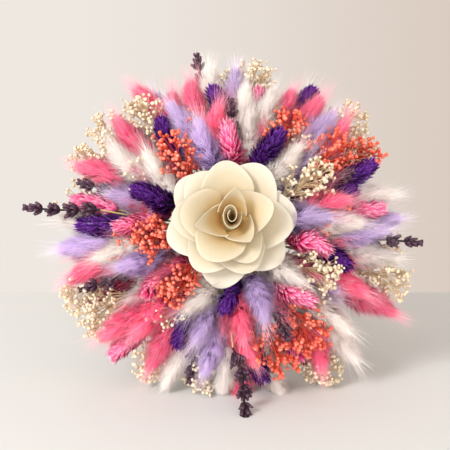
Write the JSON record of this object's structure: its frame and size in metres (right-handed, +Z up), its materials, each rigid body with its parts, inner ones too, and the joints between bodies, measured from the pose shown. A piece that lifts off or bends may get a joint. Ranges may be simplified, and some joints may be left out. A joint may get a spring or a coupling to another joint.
{
  "type": "bunch of dried flowers",
  "caption": "Hand-tied bunch of dried flowers lying on its side, a shaved-wood rose in a dome of dyed grasses, lavender and broom bloom.",
  "frame": {"origin": "on the table, under the middle of the bunch's bounding box", "axes": "+Y from the flower dome towards the cut stem ends, +X to the right of the dome seen from its face, +Z up"},
  "size_m": [0.242, 0.2822, 0.2015],
  "materials": {
    "dark_lavender": "matte",
    "purple_canary_grass": "matte",
    "pink_canary_grass": "matte",
    "pink_bunny_tail": "matte",
    "lilac_bunny_tail": "matte",
    "white_bunny_tail": "matte",
    "coral_broom_bloom": "matte",
    "cream_broom_bloom": "matte",
    "rose_wood": "matte",
    "dried_stem": "matte",
    "twine": "matte"
  },
  "bodies": {
    "root": {"binding_twine": "twine", "coral_broom_bloom_1": "coral_broom_bloom", "coral_broom_bloom_2": "coral_broom_bloom", "coral_broom_bloom_3": "coral_broom_bloom", "cream_broom_bloom_1": "cream_broom_bloom", "cream_broom_bloom_2": "cream_broom_bloom", "cream_broom_bloom_3": "cream_broom_bloom", "cream_broom_bloom_4": "cream_broom_bloom", "cream_broom_bloom_5": "cream_broom_bloom", "dark_lavender_1": "dark_lavender", "dark_lavender_2": "dark_lavender", "dark_lavender_3": "dark_lavender", "dark_lavender_4": "dark_lavender", "lilac_bunny_tail_1": "lilac_bunny_tail", "lilac_bunny_tail_2": "lilac_bunny_tail", "lilac_bunny_tail_3": "lilac_bunny_tail", "lilac_bunny_tail_4": "lilac_bunny_tail", "lilac_bunny_tail_5": "lilac_bunny_tail", "pink_bunny_tail_1": "pink_bunny_tail", "pink_bunny_tail_2": "pink_bunny_tail", "pink_bunny_tail_3": "pink_bunny_tail", "pink_bunny_tail_4": "pink_bunny_tail", "pink_bunny_tail_5": "pink_bunny_tail", "pink_bunny_tail_6": "pink_bunny_tail", "pink_bunny_tail_7": "pink_bunny_tail", "pink_canary_grass_1": "pink_canary_grass", "pink_canary_grass_2": "pink_canary_grass", "pink_canary_grass_3": "pink_canary_grass", "pink_canary_grass_4": "pink_canary_grass", "purple_canary_grass_1": "purple_canary_grass", "purple_canary_grass_2": "purple_canary_grass", "purple_canary_grass_3": "purple_canary_grass", "purple_canary_grass_4": "purple_canary_grass", "rose_heart": "rose_wood", "rose_petal_bottom_left_second": "rose_wood", "rose_petal_bottom_outer": "rose_wood", "rose_petal_bottom_right_inner": "rose_wood", "rose_petal_bottom_right_outer": "rose_wood", "rose_petal_bottom_right_second": "rose_wood", "rose_petal_bottom_right_third": "rose_wood", "rose_petal_bottom_third": "rose_wood", "rose_petal_left_inner": "rose_wood", "rose_petal_left_outer": "rose_wood", "rose_petal_left_second": "rose_wood", "rose_petal_left_third": "rose_wood", "rose_petal_right_outer": "rose_wood", "rose_petal_right_second": "rose_wood", "rose_petal_right_third": "rose_wood", "rose_petal_top_inner": "rose_wood", "rose_petal_top_left_outer": "rose_wood", "rose_petal_top_left_second": "rose_wood", "rose_petal_top_right_outer": "rose_wood", "rose_petal_top_second": "rose_wood", "rose_stem": "dried_stem", "white_bunny_tail_1": "white_bunny_tail", "white_bunny_tail_2": "white_bunny_tail", "white_bunny_tail_3": "white_bunny_tail", "white_bunny_tail_4": "white_bunny_tail", "white_bunny_tail_5": "white_bunny_tail", "white_bunny_tail_6": "white_bunny_tail"}
  },
  "joints": []
}
